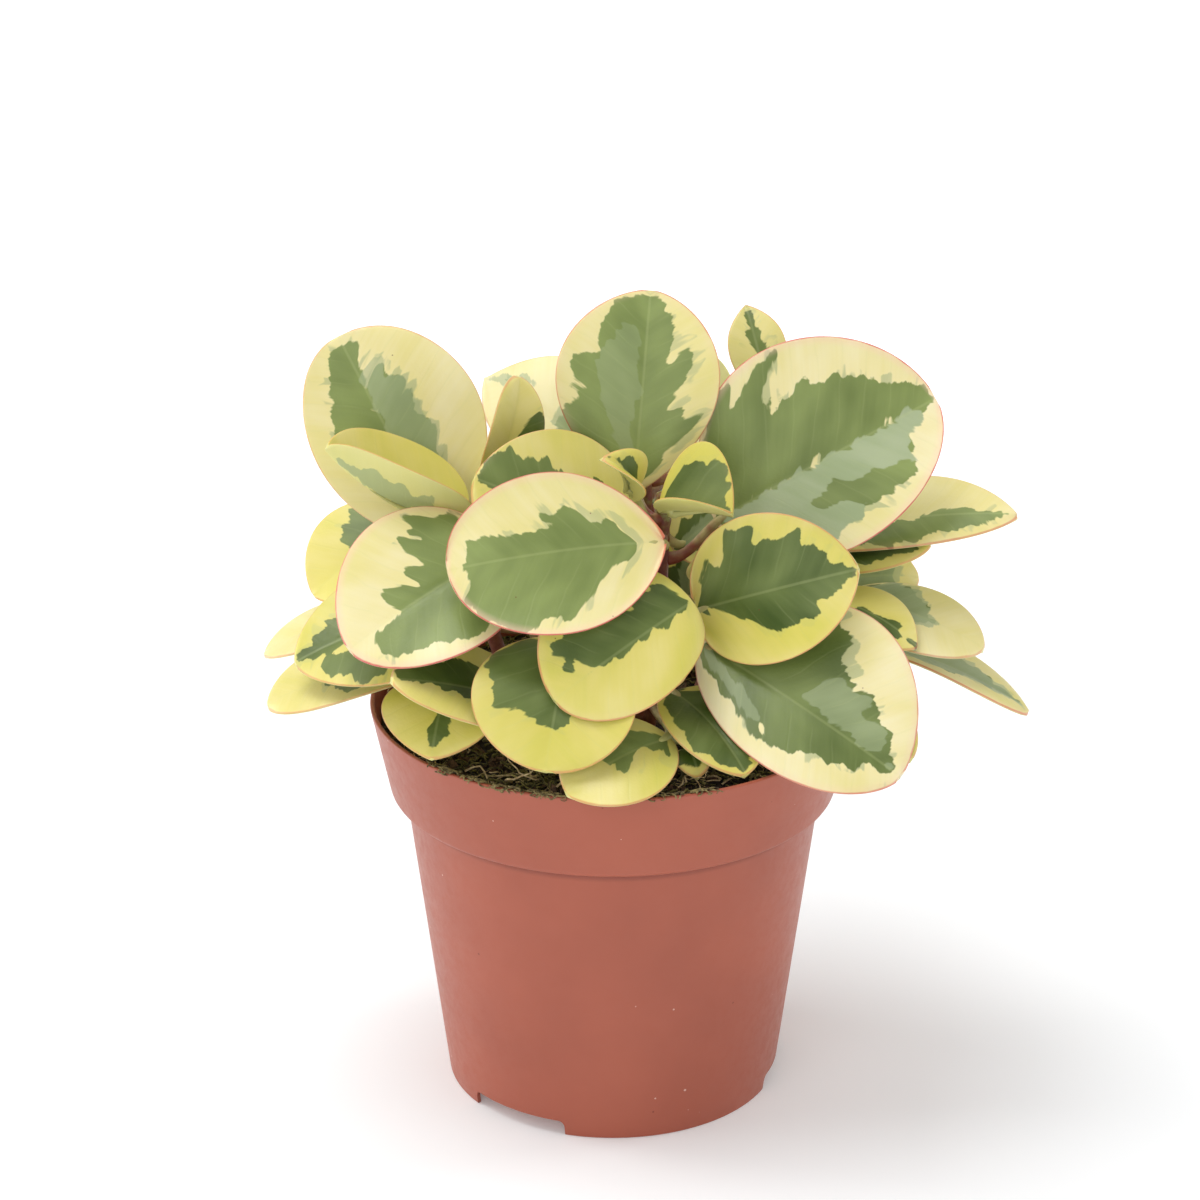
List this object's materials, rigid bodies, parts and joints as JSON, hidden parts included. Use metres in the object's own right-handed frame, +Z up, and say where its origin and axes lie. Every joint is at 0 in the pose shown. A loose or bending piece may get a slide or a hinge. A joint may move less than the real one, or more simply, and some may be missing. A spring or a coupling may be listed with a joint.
{
  "type": "potted peperomia",
  "caption": "Bushy house plant with thick, smooth, rounded leaves, green with wide cream margins, in a tapered terracotta-coloured nursery pot with a tall collar.",
  "frame": {"origin": "on the surface that the pot stands on, under the middle of the plant's spread, seen from above", "axes": "+Z up, -Y towards the viewer of the picture, +X to that viewer's right"},
  "size_m": [0.1883, 0.1379, 0.2012],
  "materials": {
    "pot_plastic": "satin",
    "soil": "matte",
    "stem": "satin",
    "leaf": "satin"
  },
  "bodies": {
    "root": {"pot": "pot_plastic", "potting_soil": "soil", "stem_1": "stem", "stem_2": "stem", "stem_3": "stem", "stem_4": "stem", "stem_5": "stem", "stem_6": "stem", "stem_7": "stem", "stem_8": "stem", "leaf_01": "leaf", "leaf_02": "leaf", "leaf_03": "leaf", "leaf_04": "leaf", "leaf_05": "leaf", "leaf_06": "leaf", "leaf_07": "leaf", "leaf_08": "leaf", "leaf_09": "leaf", "leaf_10": "leaf", "leaf_11": "leaf", "leaf_12": "leaf", "leaf_13": "leaf", "leaf_14": "leaf", "leaf_15": "leaf", "leaf_16": "leaf", "leaf_17": "leaf", "leaf_18": "leaf", "leaf_19": "leaf", "leaf_20": "leaf", "leaf_21": "leaf", "leaf_22": "leaf", "leaf_23": "leaf", "leaf_24": "leaf", "leaf_25": "leaf", "leaf_26": "leaf", "leaf_27": "leaf", "leaf_28": "leaf", "leaf_29": "leaf", "leaf_30": "leaf", "leaf_31": "leaf", "leaf_32": "leaf", "leaf_33": "leaf", "leaf_34": "leaf", "leaf_35": "leaf", "leaf_36": "leaf", "leaf_37": "leaf", "leaf_38": "leaf", "leaf_39": "leaf", "leaf_40": "leaf", "leaf_41": "leaf", "leaf_42": "leaf", "leaf_43": "leaf", "leaf_44": "leaf", "leaf_45": "leaf", "leaf_46": "leaf", "leaf_47": "leaf", "leaf_48": "leaf", "leaf_49": "leaf"}
  },
  "joints": []
}
